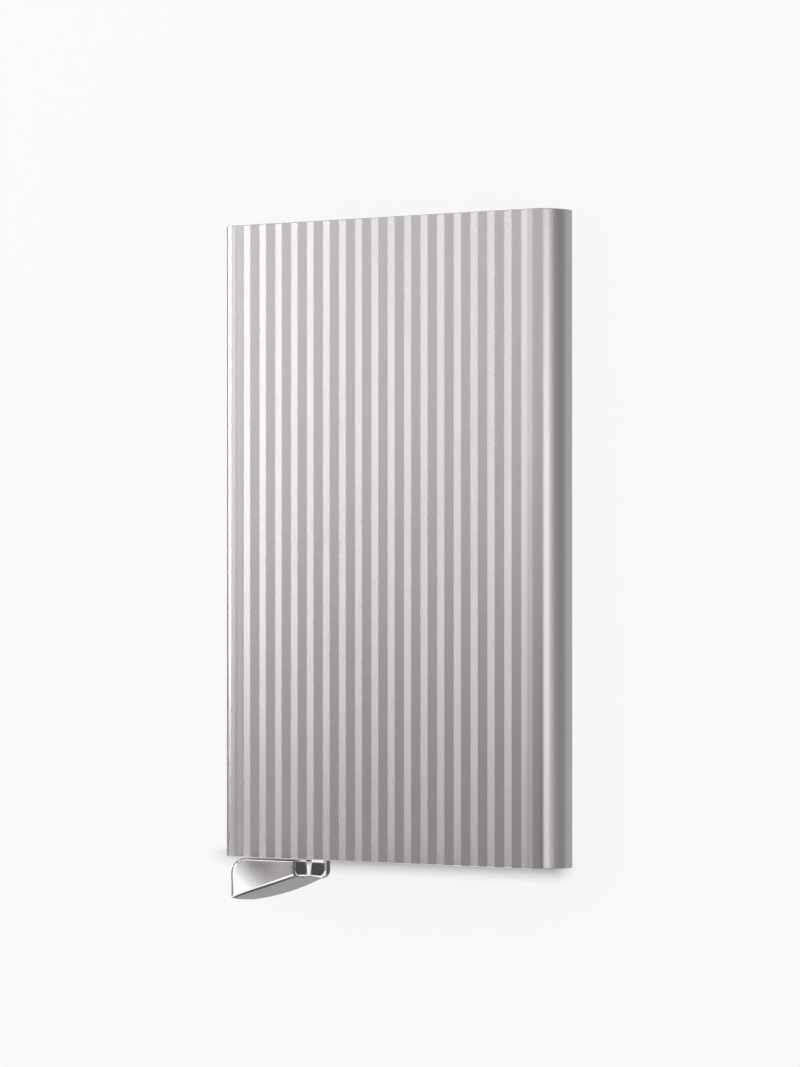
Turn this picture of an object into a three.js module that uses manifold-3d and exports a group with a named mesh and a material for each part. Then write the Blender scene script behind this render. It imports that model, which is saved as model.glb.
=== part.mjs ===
// A pop up card holder: a ribbed aluminium tube that holds a stack of cards behind an open mouth.
// A cast lever turns on a pin near the lower left corner. Pulling its tab down lifts a stepped arm
// inside the tube, and the arm's steps push the cards up one behind another, so that they fan out.
//
// Lengths are millimetres. X is the width, Y runs along the case to its open mouth, and Z comes out
// of the front face. The holder lies on its back, with the origin under the middle of its box.

import * as THREE from "three";
import { mergeVertices } from "three/addons/utils/BufferGeometryUtils.js";
import Module from "manifold-3d";

// Cards that the holder is made for
const cardWidth = 54;
const cardLength = 85.6;
const cardCount = 5;
const cardPitch = 1;
const stackPlay = 0.4;
const sinkBelowRim = 0.6;

// Case, an extruded tube. The wall is measured under a valley of the ribs
const wall = 1.1;
const ribDepth = 0.3;
const ribCount = 17;
const ribMargin = 4.9;
const sideDepth = 4.5;
const sideCurve = 2.4;
const sideWall = 1.3;
const cavityCurve = 1.6;
const edgeChamfer = 0.2;

// Clearances: between seated pieces, round a pin or screw, beside a piece that swings
const seatGap = 0.25;
const pinPlay = 0.1;
const swingGap = 0.5;

// Carrier, the moulded pair of halves that closes the tube's lower end
const carrierHeight = 9;
const floorRecess = 0.3;
const floorThickness = 1.3;
const partingGap = 0.2;
const bayEndRoom = 2;
const cheekRim = 0.5;
const supportRise = 1.5;
const coreSkin = 0.8;
const coreWall = 1.2;
const bossRadius = 1.9;

// Screws that join the carrier's halves
const screwRadius = 0.7;
const screwHeadRadius = 1.25;
const screwHeadHeight = 0.8;
const screwSink = 0.15;
const screwTipRoom = 0.75;
const screwSlotWidth = 0.35;
const screwSlotDepth = 0.35;
const screwInset = 5.4;

// Lever and its pin
const pivotInset = 16.3;
const pivotHeight = 3.75;
const pinRadius = 0.9;
const hubRadius = 2.5;
const bladeThickness = 1.4;
const bladeInset = 1;
const neckWidth = 3.9;
const neckDrop = 2.5;
const neckCorner = 0.9;
const neckRoot = 1.8;
const armLength = 14;
const armHeight = 2.6;

// Tab, the part of the lever that a finger pulls
const tabGap = 0.3;
const tabInset = 0.8;
const tabThickness = 6.8;
const tabDrop = 6;
const tabEndHeight = 1.9;
const tabCornerWidth = 3.2;
const tabCornerHeight = 1.9;
const tabLean = 0.1;
const tabTip = 0.55;
const tabRound = 0.45;
const tabBulge = 0.3;
const tabSag = 0.5;
const tabCrown = 0.3;

// Stepped pusher on the lever's arm
const shortestReach = 10;
const longestReach = 30;
const pusherTip = 2.2;
const pusherFloorGap = 0.3;
const pusherHeadroom = 1.1;
const rootTopShare = 0.5;

// Side liners and the pile strips that grip the cards' edges
const pileClearance = 0.05;
const pileProud = 0.85;
const pileHalfWidth = 1.65;
const pileRound = 0.35;
const grooveDepth = 0.55;
const linerSink = 0.8;
const pileEndInset = 1.5;

// How finely curves are cut, how far a cut runs past what it cuts, and how near points are one point
const curveSteps = 8;
const roundSteps = 12;
const bevelSteps = 3;
const tabSteps = 6;
const overrun = 1;
const weldDistance = 1e-4;

// Sizes that follow from those above
const cavityDepth = cardCount * cardPitch + stackPlay;
const skin = wall + ribDepth;
const caseThickness = cavityDepth + 2 * skin;
const caseWidth = cardWidth + 2 * sideDepth;
const caseLength = carrierHeight + cardLength + sinkBelowRim;
const cavityHalfWidth = caseWidth / 2 - sideWall;
const floorTop = floorRecess + floorThickness;
const pivotX = pivotInset - caseWidth / 2;
const bladeBack = skin + bladeInset;
const bladeFront = bladeBack + bladeThickness;
const fillBack = skin + seatGap;
const fillFront = caseThickness - skin - seatGap;
const splitBack = bladeFront + seatGap;
const splitFront = splitBack + partingGap;
const cheekRadius = hubRadius + cheekRim;
const rootRadius = cheekRadius + swingGap;
const bayLeft = pivotX - rootRadius - swingGap;
const bayRight = pivotX + longestReach + bayEndRoom;
const pileFace = cardWidth / 2 + pileClearance;
const linerFace = pileFace + pileProud;

// Materials
const aluminium = new THREE.MeshStandardMaterial({ color: 0xcfcbcf, roughness: 0.38, metalness: 0.9 });
const chrome = new THREE.MeshStandardMaterial({ color: 0xe6e4e6, roughness: 0.1, metalness: 1 });
const steel = new THREE.MeshStandardMaterial({ color: 0xa9a9ad, roughness: 0.3, metalness: 1 });
const blackPlastic = new THREE.MeshStandardMaterial({ color: 0x1b1b1d, roughness: 0.6, metalness: 0 });
const greyPlastic = new THREE.MeshStandardMaterial({ color: 0x3a3a3d, roughness: 0.5, metalness: 0 });
const pile = new THREE.MeshStandardMaterial({ color: 0x2a2a2c, roughness: 1, metalness: 0 });

const wasm = await Module();
wasm.setup();

// Solids for cutting and joining

function solidOf(geometry) {
  const flat = geometry.index ? geometry.toNonIndexed() : geometry;
  const bare = new THREE.BufferGeometry();
  bare.setAttribute("position", flat.getAttribute("position"));
  const merged = mergeVertices(bare, weldDistance);
  const mesh = new wasm.Mesh({
    numProp: 3,
    vertProperties: merged.getAttribute("position").array,
    triVerts: new Uint32Array(merged.index.array),
  });
  return new wasm.Manifold(mesh);
}

function geometryOf(solid) {
  const mesh = solid.getMesh();
  const geometry = new THREE.BufferGeometry();
  geometry.setAttribute("position", new THREE.BufferAttribute(mesh.vertProperties, mesh.numProp));
  geometry.setIndex(new THREE.BufferAttribute(mesh.triVerts, 1));
  const faceted = geometry.toNonIndexed();
  faceted.computeVertexNormals();
  return faceted;
}

// Outlines

function rectangle(left, bottom, right, top) {
  const shape = new THREE.Shape();
  shape.moveTo(left, bottom);
  shape.lineTo(right, bottom);
  shape.lineTo(right, top);
  shape.lineTo(left, top);
  return shape;
}

function disc(x, y, radius) {
  const shape = new THREE.Shape();
  shape.absarc(x, y, radius, 0, 2 * Math.PI);
  return shape;
}

// Draws an outline with straight long sides and half ellipses for ends.
function drawRoundEnded(path, halfWidth, halfDepth, curve) {
  const straight = halfWidth - curve;
  path.moveTo(-straight, -halfDepth);
  path.lineTo(straight, -halfDepth);
  path.absellipse(straight, 0, curve, halfDepth, -Math.PI / 2, Math.PI / 2, false);
  path.lineTo(-straight, halfDepth);
  path.absellipse(-straight, 0, curve, halfDepth, Math.PI / 2, 1.5 * Math.PI, false);
  return path;
}

// Prisms: one faces the viewer, its outline drawn on X and Y, and one runs along the case, its
// outline drawn on X and the depth from the case's middle

function facing(shape, back, front) {
  const geometry = new THREE.ExtrudeGeometry(shape, {
    depth: front - back,
    bevelEnabled: false,
    curveSegments: roundSteps,
  });
  return geometry.translate(0, 0, back);
}

function along(shape, length, chamfer = 0) {
  return new THREE.ExtrudeGeometry(shape, {
    depth: length - 2 * chamfer,
    bevelEnabled: chamfer > 0,
    bevelThickness: chamfer,
    bevelSize: chamfer,
    bevelOffset: -chamfer,
    bevelSegments: 1,
    curveSegments: curveSteps,
  }).translate(0, 0, chamfer);
}

// Case

// One broad face, from its left land to its right: each point's x and its height over the crests.
function ribbedFace() {
  const land = caseWidth / 2 - sideCurve;
  const zone = caseWidth - 2 * ribMargin;
  const pitch = zone / ribCount;
  const points = [new THREE.Vector2(-land, 0), new THREE.Vector2(-(zone + pitch) / 2, 0)];
  for (let i = 0; i < ribCount; i += 1) {
    const valley = i * pitch - zone / 2;
    points.push(new THREE.Vector2(valley, -ribDepth));
    points.push(new THREE.Vector2(valley + pitch / 2, 0));
  }
  points.push(new THREE.Vector2(zone / 2, -ribDepth));
  points.push(new THREE.Vector2((zone + pitch) / 2, 0));
  points.push(new THREE.Vector2(land, 0));
  return points;
}

function caseSection() {
  const halfDepth = caseThickness / 2;
  const land = caseWidth / 2 - sideCurve;
  const face = ribbedFace();
  const section = new THREE.Shape();
  face.forEach((p, i) => {
    if (i === 0) section.moveTo(p.x, -halfDepth - p.y);
    else section.lineTo(p.x, -halfDepth - p.y);
  });
  section.absellipse(land, 0, sideCurve, halfDepth, -Math.PI / 2, Math.PI / 2, false);
  face.reverse().forEach((p) => section.lineTo(p.x, halfDepth + p.y));
  section.absellipse(-land, 0, sideCurve, halfDepth, Math.PI / 2, 1.5 * Math.PI, false);
  section.holes.push(drawRoundEnded(new THREE.Path(), cavityHalfWidth, cavityDepth / 2, cavityCurve));
  return section;
}

function makeCase() {
  const mesh = new THREE.Mesh(along(caseSection(), caseLength, edgeChamfer), aluminium);
  mesh.name = "case_shell";
  return mesh;
}

// Side liners with their pile strips

function linerSection() {
  const curve = cavityCurve - seatGap;
  const straight = cavityHalfWidth - cavityCurve;
  const halfDepth = cavityDepth / 2 - seatGap;
  const grooveHalf = pileHalfWidth + seatGap;
  const section = new THREE.Shape();
  section.moveTo(linerFace, -halfDepth);
  section.lineTo(straight, -halfDepth);
  section.absellipse(straight, 0, curve, halfDepth, -Math.PI / 2, Math.PI / 2, false);
  section.lineTo(linerFace, halfDepth);
  section.lineTo(linerFace, grooveHalf);
  section.lineTo(linerFace + grooveDepth, grooveHalf);
  section.lineTo(linerFace + grooveDepth, -grooveHalf);
  section.lineTo(linerFace, -grooveHalf);
  return section;
}

function pileSection() {
  const base = linerFace + grooveDepth - seatGap;
  const section = new THREE.Shape();
  section.moveTo(base, -pileHalfWidth);
  section.lineTo(base, pileHalfWidth);
  section.lineTo(pileFace + pileRound, pileHalfWidth);
  section.absarc(pileFace + pileRound, pileHalfWidth - pileRound, pileRound, Math.PI / 2, Math.PI, false);
  section.lineTo(pileFace, pileRound - pileHalfWidth);
  section.absarc(pileFace + pileRound, pileRound - pileHalfWidth, pileRound, Math.PI, 1.5 * Math.PI, false);
  return section;
}

// One side's liner and strip. Half a turn about the case's own axis makes the other side.
function makeSide(side, turn) {
  const low = carrierHeight + seatGap;
  const length = caseLength - linerSink - low;
  const liner = new THREE.Mesh(along(linerSection(), length), blackPlastic);
  liner.name = "side_liner_" + side;
  liner.position.z = low;
  const strip = new THREE.Mesh(along(pileSection(), length - 2 * pileEndInset), pile);
  strip.name = "grip_strip_" + side;
  strip.position.z = low + pileEndInset;
  const group = new THREE.Group();
  group.add(liner, strip);
  group.rotation.z = turn;
  return group;
}

// Carrier

// The open bay that the pusher swings in, less the cheeks that hold the pin's ends.
function bayCut() {
  const bay = facing(rectangle(bayLeft, floorTop, bayRight, carrierHeight + overrun), 0, caseThickness);
  const cheek = facing(disc(pivotX, pivotHeight, cheekRadius), -overrun, caseThickness + overrun);
  const support = facing(
    rectangle(bayLeft - overrun, 0, pivotX, pivotHeight + supportRise),
    -overrun,
    caseThickness + overrun,
  );
  return solidOf(bay).subtract(solidOf(cheek)).subtract(solidOf(support));
}

// The slot in the back half for the lever's hub and for the sweep of its neck.
function leverSlot() {
  const cornerX = neckWidth / 2 - neckCorner;
  const cornerY = pivotHeight + neckDrop - neckCorner;
  const sweep = Math.hypot(cornerX, cornerY) + neckCorner + seatGap;
  const low = bladeBack - seatGap;
  const high = splitBack + overrun;
  const left = pivotX - neckWidth / 2 - seatGap;
  const neck = facing(rectangle(left, -overrun, pivotX + sweep, pivotHeight), low, high);
  const hub = facing(disc(pivotX, pivotHeight, rootRadius), low, high);
  return solidOf(neck).add(solidOf(hub));
}

// The solid blocks at the bay's two ends: each has a screw boss between two cored pockets.
const screwX = cavityHalfWidth - seatGap - screwInset;
const screwY = (floorTop + carrierHeight) / 2;
const blocks = [
  { left: seatGap - cavityHalfWidth, right: bayLeft, screwX: -screwX },
  { left: bayRight, right: cavityHalfWidth - seatGap, screwX },
];

// Pockets that open at the parting faces, between the depths given.
function corePockets(back, front) {
  const pockets = blocks.flatMap((block) => {
    const spans = [
      [block.left + coreWall, block.screwX - bossRadius],
      [block.screwX + bossRadius, block.right - coreWall],
    ];
    return spans.map(([left, right]) =>
      solidOf(facing(rectangle(left, floorTop, right, carrierHeight - coreWall), back, front)),
    );
  });
  return pockets.reduce((all, pocket) => all.add(pocket));
}

// The carrier's body between two depths, with its bay cut and the pin's bore through its cheek.
function carrierBlank(back, front) {
  const outline = drawRoundEnded(
    new THREE.Shape(),
    cavityHalfWidth - seatGap,
    cavityDepth / 2 - seatGap,
    cavityCurve - seatGap,
  );
  const body = along(outline, carrierHeight - floorRecess)
    .rotateX(-Math.PI / 2)
    .translate(0, floorRecess, caseThickness / 2);
  const depths = facing(rectangle(-caseWidth, 0, caseWidth, caseLength), back, front);
  const bore = facing(disc(pivotX, pivotHeight, pinRadius + pinPlay), 0, caseThickness);
  return solidOf(body).intersect(solidOf(depths)).subtract(bayCut()).subtract(solidOf(bore));
}

function makeCarrierBack() {
  let half = carrierBlank(0, splitBack);
  half = half.subtract(leverSlot());
  half = half.subtract(corePockets(fillBack + coreSkin, splitBack + overrun));
  for (const block of blocks) {
    const hole = disc(block.screwX, screwY, screwRadius + pinPlay);
    half = half.subtract(solidOf(facing(hole, fillBack + screwTipRoom - seatGap, caseThickness)));
  }
  const mesh = new THREE.Mesh(geometryOf(half), blackPlastic);
  mesh.name = "carrier_back";
  return mesh;
}

function makeCarrierFront() {
  const seat = fillFront - screwSink - screwHeadHeight - pinPlay;
  let half = carrierBlank(splitFront, caseThickness);
  half = half.subtract(corePockets(splitFront - overrun, fillFront - coreSkin));
  for (const block of blocks) {
    const hole = disc(block.screwX, screwY, screwRadius + pinPlay);
    const counterbore = disc(block.screwX, screwY, screwHeadRadius + pinPlay);
    half = half.subtract(solidOf(facing(hole, 0, caseThickness)));
    half = half.subtract(solidOf(facing(counterbore, seat, caseThickness)));
  }
  const mesh = new THREE.Mesh(geometryOf(half), blackPlastic);
  mesh.name = "carrier_front";
  return mesh;
}

// A slotted screw that points to the back, its axis on Z.
function makeScrew(block, side) {
  const top = fillFront - screwSink;
  const under = top - screwHeadHeight;
  const tip = fillBack + screwTipRoom;
  const head = facing(disc(0, 0, screwHeadRadius), under, top);
  const shank = facing(disc(0, 0, screwRadius), tip, under + screwHeadHeight / 2);
  const slot = facing(
    rectangle(-overrun - screwHeadRadius, -screwSlotWidth / 2, screwHeadRadius + overrun, screwSlotWidth / 2),
    top - screwSlotDepth,
    top + overrun,
  );
  const screw = solidOf(head).add(solidOf(shank)).subtract(solidOf(slot));
  const mesh = new THREE.Mesh(geometryOf(screw), steel);
  mesh.name = "carrier_screw_" + side;
  mesh.position.set(block.screwX, screwY, 0);
  return mesh;
}

// Lever, drawn round its pivot

// The tab's outline at one depth. It is drawn in by the inset, its outer end moves in by the shift
// and its underside moves down by the sag.
function tabOutline(inset, shift, sag) {
  const left = tabInset - caseWidth / 2 - pivotX + shift;
  const right = -neckWidth / 2 - inset;
  const top = -pivotHeight - tabGap;
  const cornerX = left + tabCornerWidth;
  const cornerY = top - tabCornerHeight;
  const tipX = left + tabLean + tabTip;
  const tipY = tabTip - pivotHeight - tabDrop - sag;
  const endY = top - tabEndHeight - sag + inset;
  const radius = tabTip - inset;
  const run = right - tipX;
  const rise = endY - tipY;
  const slope = Math.atan2(rise, run) + Math.asin(radius / Math.hypot(run, rise));
  const outline = new THREE.Shape();
  outline.moveTo(right, endY);
  outline.lineTo(right, top - inset);
  outline.absellipse(
    cornerX,
    cornerY,
    tabCornerWidth - inset,
    tabCornerHeight - inset,
    Math.PI / 2,
    Math.PI,
    false,
  );
  outline.absarc(tipX, tipY, radius, Math.PI, 1.5 * Math.PI + slope, false);
  return outline;
}

// Depths and insets of the tab's rings, from its back to its front: both ends are rounded.
function tabStations() {
  const stations = [];
  for (let i = 0; i < bevelSteps; i += 1) {
    const angle = ((i / bevelSteps) * Math.PI) / 2;
    stations.push({ depth: tabRound * (1 - Math.cos(angle)), inset: tabRound * (1 - Math.sin(angle)) });
  }
  const ends = stations.map(({ depth, inset }) => ({ depth: tabThickness - depth, inset })).reverse();
  for (let i = 0; i <= tabSteps; i += 1) {
    stations.push({ depth: tabRound + ((tabThickness - 2 * tabRound) * i) / tabSteps, inset: 0 });
  }
  return stations.concat(ends);
}

// A closed skin over rings of points that run counter-clockwise, the lowest ring first.
function loft(rings) {
  const count = rings[0].length;
  const corners = [];
  rings.slice(1).forEach((upper, k) => {
    const lower = rings[k];
    for (let i = 0; i < count; i += 1) {
      const next = (i + 1) % count;
      corners.push(lower[i], lower[next], upper[next], lower[i], upper[next], upper[i]);
    }
  });
  const first = rings[0];
  const last = rings[rings.length - 1];
  for (let i = 1; i < count - 1; i += 1) {
    corners.push(first[0], first[i + 1], first[i], last[0], last[i], last[i + 1]);
  }
  return new THREE.BufferGeometry().setFromPoints(corners);
}

function tabSolid() {
  const back = (caseThickness - tabThickness) / 2;
  const rings = tabStations().map(({ depth, inset }) => {
    const share = 1 - depth / tabThickness;
    const shift = tabBulge * (2 * share - 1) ** 2;
    const sag = tabSag * share + tabCrown * 4 * share * (1 - share);
    const points = tabOutline(inset, shift, sag).getPoints(curveSteps);
    return points.map((p) => new THREE.Vector3(p.x, p.y, back + depth));
  });
  return solidOf(loft(rings));
}

function neckOutline() {
  const half = neckWidth / 2;
  const top = -pivotHeight - tabGap;
  const bottom = -pivotHeight - neckDrop;
  const outline = new THREE.Shape();
  outline.moveTo(-half, 0);
  outline.lineTo(-half, top);
  outline.lineTo(-half - neckRoot, top - tabRound);
  outline.lineTo(-half - neckRoot, top - tabEndHeight);
  outline.lineTo(half - neckCorner, bottom);
  outline.absarc(half - neckCorner, bottom + neckCorner, neckCorner, -Math.PI / 2, 0, false);
  outline.lineTo(half, 0);
  return outline;
}

function makeLever() {
  const arm = rectangle(0, -armHeight / 2, armLength, armHeight / 2);
  const parts = [neckOutline(), disc(0, 0, hubRadius), arm];
  const blade = parts.map((part) => solidOf(facing(part, bladeBack, bladeFront)));
  const bore = solidOf(facing(disc(0, 0, pinRadius + pinPlay), 0, caseThickness));
  const lever = blade.reduce((all, part) => all.add(part), tabSolid()).subtract(bore);
  const mesh = new THREE.Mesh(geometryOf(lever), chrome);
  mesh.name = "finger_lever";
  return mesh;
}

// Pusher

// One step of the fan: it starts on an arc round the pivot and ends in a round tip.
function stepOutline(reach) {
  const bottom = floorTop + pusherFloorGap - pivotHeight;
  const top = carrierHeight - pusherHeadroom - pivotHeight;
  const rootX = rootRadius * rootTopShare;
  const rootY = Math.sqrt(rootRadius ** 2 - rootX ** 2);
  const lowerX = Math.sqrt(rootRadius ** 2 - bottom ** 2);
  const tipX = reach - pusherTip;
  const tipY = bottom + pusherTip;
  const slope = Math.atan2(top - tipY - pusherTip, tipX - rootX);
  const outline = new THREE.Shape();
  outline.moveTo(lowerX, bottom);
  outline.lineTo(tipX, bottom);
  outline.absarc(tipX, tipY, pusherTip, -Math.PI / 2, Math.PI / 2 - slope, false);
  outline.lineTo(rootX, top);
  outline.lineTo(rootX, rootY);
  outline.absarc(0, 0, rootRadius, Math.atan2(rootY, rootX), Math.atan2(bottom, lowerX), true);
  return outline;
}

function makePusher() {
  const back = skin + stackPlay / 2;
  const steps = [];
  for (let i = 0; i < cardCount; i += 1) {
    const reach = shortestReach + ((longestReach - shortestReach) * i) / (cardCount - 1);
    steps.push(solidOf(facing(stepOutline(reach), back, back + (cardCount - i) * cardPitch)));
  }
  const channel = rectangle(0, -armHeight / 2 - seatGap, armLength + seatGap, armHeight / 2 + seatGap);
  const socket = solidOf(facing(channel, bladeBack - seatGap, bladeFront + seatGap));
  const pusher = steps.reduce((all, step) => all.add(step)).subtract(socket);
  const mesh = new THREE.Mesh(geometryOf(pusher), greyPlastic);
  mesh.name = "step_pusher";
  return mesh;
}

function makePin() {
  const mesh = new THREE.Mesh(facing(disc(0, 0, pinRadius), fillBack, fillFront), steel);
  mesh.name = "pivot_pin";
  return mesh;
}

// The whole holder

const tube = new THREE.Group();
tube.add(makeCase(), makeSide("right", 0), makeSide("left", Math.PI));
tube.rotation.x = -Math.PI / 2;
tube.position.z = caseThickness / 2;

const carrier = new THREE.Group();
carrier.add(makeCarrierBack(), makeCarrierFront());
carrier.add(makeScrew(blocks[0], "left"), makeScrew(blocks[1], "right"));

const pivot = new THREE.Group();
pivot.add(makeLever(), makePusher(), makePin());
pivot.position.set(pivotX, pivotHeight, 0);

const cardHolder = new THREE.Group();
cardHolder.add(tube, carrier, pivot);
const box = new THREE.Box3().setFromObject(cardHolder);
cardHolder.position.y = -(box.min.y + box.max.y) / 2;

export default cardHolder;
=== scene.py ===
"""Dresses the pop up card holder and stands it in a plain studio.

Lengths in the classes are millimetres in the case's own frame: X across the case, Y along it from its
lower end to the mouth, Z out of the front face. `placed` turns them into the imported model's metres.
"""

import logging
import math
from dataclasses import dataclass
from enum import Enum
from typing import Callable, ClassVar

import bmesh
import bpy
import numpy as np
from mathutils import Matrix, Vector


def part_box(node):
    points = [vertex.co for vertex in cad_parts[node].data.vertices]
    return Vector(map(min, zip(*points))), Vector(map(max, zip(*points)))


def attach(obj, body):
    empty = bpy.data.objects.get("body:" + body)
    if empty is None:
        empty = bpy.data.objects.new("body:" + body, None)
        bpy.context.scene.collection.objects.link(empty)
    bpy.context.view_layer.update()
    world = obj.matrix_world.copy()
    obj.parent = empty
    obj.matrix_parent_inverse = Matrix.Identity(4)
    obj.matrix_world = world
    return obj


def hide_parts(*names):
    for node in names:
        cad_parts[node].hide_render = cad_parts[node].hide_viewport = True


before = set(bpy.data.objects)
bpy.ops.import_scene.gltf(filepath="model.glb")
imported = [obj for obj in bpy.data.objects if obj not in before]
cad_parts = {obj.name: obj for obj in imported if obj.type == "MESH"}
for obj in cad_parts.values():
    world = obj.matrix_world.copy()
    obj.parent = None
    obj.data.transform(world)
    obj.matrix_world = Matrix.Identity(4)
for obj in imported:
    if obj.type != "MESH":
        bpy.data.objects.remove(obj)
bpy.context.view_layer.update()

PIVOT = (-15.2, 3.75)
MM = 0.001
CASE_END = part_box("case_shell")[0].y / MM
MERGED = 0.002
FLAT_DEGREES, BEVELLED_DEGREES = 1.5, 33
SMOOTH_DEGREES, SMOOTH_COPY_DEGREES, SMOOTH_CASTING_DEGREES = 40, 50, 34

Array = np.ndarray
Socket = bpy.types.NodeSocket
Material = bpy.types.Material
Mesh = bpy.types.Mesh
Piece = bpy.types.Object

log = logging.getLogger("card_holder")


class Slot(Enum):
    """The record's material slots."""

    ALUMINIUM = "satin_aluminium"
    LEVER = "polished_lever"
    STEEL = "steel"
    BLACK = "black_moulding"
    GREY = "grey_moulding"
    PILE = "pile"


class Body(Enum):
    """The two bodies that the pieces ride on."""

    CASE = "case"
    LEVER = "lever"


# Shader building


class Wire:
    """One value in a shader. Arithmetic on it adds Math nodes."""

    def __init__(self, graph: "Graph", socket: Socket) -> None:
        """Wraps an output socket.

        Args:
            graph: the graph that the socket belongs to.
            socket: the output socket.
        """
        self.graph = graph
        self.socket = socket

    def math(self, operation: str, *values: "Wire | float") -> "Wire":
        """Adds one Math node.

        Args:
            operation: the node's operation.
            values: its inputs, in order.

        Returns:
            The node's result.
        """
        node = self.graph.node("ShaderNodeMath", {"operation": operation}, dict(enumerate(values)))
        return Wire(self.graph, node.outputs[0])

    def __add__(self, other: "Wire | float") -> "Wire":
        """The sum."""
        return self.math("ADD", self, other)

    def __radd__(self, other: float) -> "Wire":
        """The sum, with the number first."""
        return self.math("ADD", other, self)

    def __sub__(self, other: "Wire | float") -> "Wire":
        """The difference."""
        return self.math("SUBTRACT", self, other)

    def __rsub__(self, other: float) -> "Wire":
        """The difference, with the number first."""
        return self.math("SUBTRACT", other, self)

    def __mul__(self, other: "Wire | float") -> "Wire":
        """The product."""
        return self.math("MULTIPLY", self, other)

    def __rmul__(self, other: float) -> "Wire":
        """The product, with the number first."""
        return self.math("MULTIPLY", other, self)

    def __pow__(self, other: float) -> "Wire":
        """The power."""
        return self.math("POWER", self, other)

    def clipped(self) -> "Wire":
        """The value held between 0 and 1."""
        return self.math("MINIMUM", self.math("MAXIMUM", self, 0.0), 1.0)

    def between(self, low: float, high: float) -> "Wire":
        """A smooth step of the value.

        Args:
            low: where the result is 0.
            high: where the result is 1.

        Returns:
            The step, 3 t^2 - 2 t^3 of the share t of the way from low to high.
        """
        share = ((self - low) * (1.0 / (high - low))).clipped()
        return share * share * (3.0 - 2.0 * share)


class Graph:
    """The node tree of one material."""

    def __init__(self, name: str) -> None:
        """Makes the material and its output.

        Args:
            name: the material's name.
        """
        self.material = bpy.data.materials.new(name)
        self.material.use_nodes = True
        self.tree = self.material.node_tree
        self.tree.nodes.clear()
        self.output = self.tree.nodes.new("ShaderNodeOutputMaterial")
        self.place = self.node("ShaderNodeTexCoord").outputs["Object"]

    def node(self, kind: str, settings: dict | None = None, inputs: dict | None = None) -> bpy.types.Node:
        """Adds a node.

        Args:
            kind: the node's type.
            settings: properties that are set first.
            inputs: a number, colour, socket or Wire for each input, by name or index.

        Returns:
            The node.
        """
        node = self.tree.nodes.new(kind)
        for key, value in (settings or {}).items():
            setattr(node, key, value)
        for key, value in (inputs or {}).items():
            if isinstance(value, Wire):
                self.tree.links.new(value.socket, node.inputs[key])
            elif isinstance(value, Socket):
                self.tree.links.new(value, node.inputs[key])
            else:
                node.inputs[key].default_value = value
        return node

    def noise(self, scale: tuple[float, float, float], detail: float = 2.0) -> Wire:
        """Noise from 0 to 1 over the piece, stretched along an axis by a lower scale there.

        Args:
            scale: cycles a metre along X, Y and Z.
            detail: octaves.

        Returns:
            The noise.
        """
        place = self.node("ShaderNodeMapping", {}, {"Vector": self.place, "Scale": scale}).outputs[0]
        inputs = {"Vector": place, "Scale": 1.0, "Detail": detail}
        return Wire(self, self.node("ShaderNodeTexNoise", {}, inputs).outputs["Fac"])

    def millimetres(self, *axes: str) -> list[Wire]:
        """The place on the piece along each axis named, in millimetres."""
        place = self.node("ShaderNodeSeparateXYZ", {}, {0: self.place})
        return [Wire(self, place.outputs[axis]) * (1.0 / MM) for axis in axes]

    def attribute(self, name: str) -> Wire:
        """A value that the mesh carries at its points."""
        node = self.node("ShaderNodeAttribute", {"attribute_name": name})
        return Wire(self, node.outputs["Fac"])

    def tinted(self, share: Wire, low: tuple | Socket, high: tuple) -> Socket:
        """A colour between two.

        Args:
            share: how far from the first to the second.
            low: the first colour or its socket.
            high: the second colour.

        Returns:
            The colour's socket.
        """
        first = low if isinstance(low, Socket) else (*low, 1.0)
        node = self.node("ShaderNodeMix", {"data_type": "RGBA"}, {0: share, 6: first, 7: (*high, 1.0)})
        return node.outputs[2]

    def bump(self, height: Wire, depth: float, under: Socket | None = None) -> Socket:
        """Relief from a height.

        Args:
            height: the height, from 0 to 1.
            depth: metres from 0 to 1.
            under: a normal that the relief is laid on.

        Returns:
            The normal's socket.
        """
        inputs = {"Height": height, "Distance": depth, "Strength": 1.0}
        if under is not None:
            inputs["Normal"] = under
        return self.node("ShaderNodeBump", {}, inputs).outputs[0]

    def ended(self, kind: str, inputs: dict) -> Material:
        """Ends the material in one shader.

        Args:
            kind: the shader node's type.
            inputs: its inputs by name or index.

        Returns:
            The material.
        """
        shader = self.node(kind, {}, inputs)
        self.tree.links.new(shader.outputs[0], self.output.inputs["Surface"])
        return self.material

    def surface(self, inputs: dict) -> Material:
        """Ends the material in a surface with the inputs given by name."""
        return self.ended("ShaderNodeBsdfPrincipled", inputs)

    def light(self, colour: tuple | Socket, strength: float) -> Material:
        """Ends the material in an even light of the colour and strength."""
        return self.ended("ShaderNodeEmission", {"Color": colour, "Strength": strength})


# Finishes


def mixed(colour: tuple, other: tuple, share: float) -> tuple:
    """The colour that lies the share of the way from the first to the other."""
    return tuple(a + (b - a) * share for a, b in zip(colour, other))


WHITE = (1.0, 1.0, 1.0)
BLACK = (0.0, 0.0, 0.0)


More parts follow.
